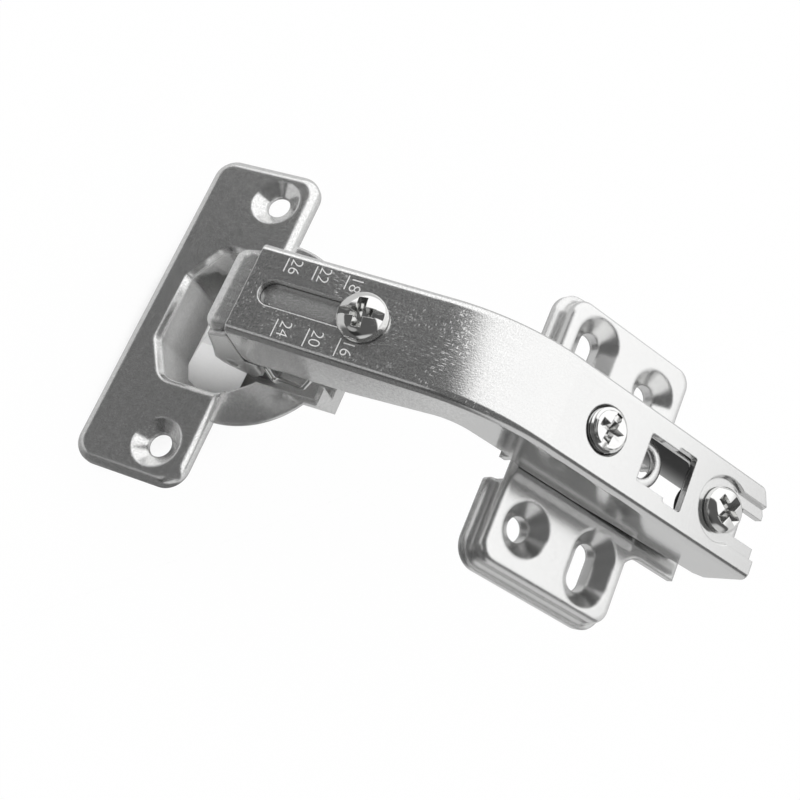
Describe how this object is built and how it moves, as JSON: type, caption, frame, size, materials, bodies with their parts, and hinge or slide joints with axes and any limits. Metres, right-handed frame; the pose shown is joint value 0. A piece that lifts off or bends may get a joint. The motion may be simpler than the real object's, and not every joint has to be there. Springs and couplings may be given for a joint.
{
  "type": "pie cut corner hinge",
  "caption": "Cranked cabinet hinge for a folding corner door: fixing plate, bent channel arm with adjusting screws, sliding carriage, linkage and a shallow winged cup.",
  "frame": {"origin": "centre of the fixing plate's screw pattern, on the panel face", "axes": "+X along the arm to its rear end, +Y across the arm, +Z out of the panel"},
  "size_m": [0.0921, 0.0612, 0.0686],
  "materials": {
    "plated_sheet": "bright nickel plate on pressed steel, fine rolling lines",
    "screw_steel": "bright plate",
    "pin_steel": "plain bright steel",
    "spring_wire": "drawn wire"
  },
  "bodies": {
    "base": {"plate": "plated_sheet"},
    "clamp_screw": {"clamp_screw": "screw_steel"},
    "arm": {"arm": "plated_sheet"},
    "set_screw": {"set_screw": "screw_steel"},
    "carriage": {"carriage": "plated_sheet", "link_rivets": "pin_steel", "carriage_pin": "pin_steel", "spring": "spring_wire"},
    "slot_screw": {"slot_screw": "screw_steel"},
    "outer_link": {"outer_link": "plated_sheet"},
    "inner_link": {"inner_link": "plated_sheet"},
    "cup": {"cup": "plated_sheet", "cup_bracket": "plated_sheet", "cup_pin": "pin_steel", "bracket_pin": "pin_steel"}
  },
  "joints": [
    {"name": "arm_slide", "type": "slide", "parent": "base", "child": "arm", "axis": [-1, 0, 0], "range_m": [0, 0.004]},
    {"name": "clamp_turn", "type": "hinge", "parent": "base", "child": "clamp_screw", "pos_m": [0.0181, 0, 0.0168], "axis": [0, 0, 1], "range_deg": [0, 360]},
    {"name": "set_turn", "type": "hinge", "parent": "arm", "child": "set_screw", "pos_m": [-0.0089, 0, 0.0178], "axis": [0, 0, 1], "range_deg": [0, 360]},
    {"name": "carriage_slide", "type": "slide", "parent": "arm", "child": "carriage", "axis": [-0.7071, 0, -0.7071], "range_m": [0, 0.01]},
    {"name": "slot_turn", "type": "hinge", "parent": "carriage", "child": "slot_screw", "pos_m": [-0.04582, 0, 0.00118], "axis": [-0.7071, 0, 0.7071], "range_deg": [0, 360]},
    {"name": "link_swing", "type": "hinge", "parent": "carriage", "child": "outer_link", "pos_m": [-0.052, 0, -0.02643], "axis": [0, 1, 0], "range_deg": [0, 86.5]},
    {"name": "cup_turn", "type": "hinge", "parent": "outer_link", "child": "cup", "pos_m": [-0.04682, 0, -0.03819], "axis": [0, 1, 0], "range_deg": [0, 3.3]},
    {"name": "inner_swing", "type": "hinge", "parent": "carriage", "child": "inner_link", "pos_m": [-0.05292, 0, -0.02131], "axis": [0, 1, 0], "range_deg": [0, 43]}
  ],
  "couplings": [
    {"joint": "cup_turn", "follows": "link_swing", "ratio": 0.0368},
    {"joint": "inner_swing", "follows": "link_swing", "ratio": 0.4899}
  ]
}
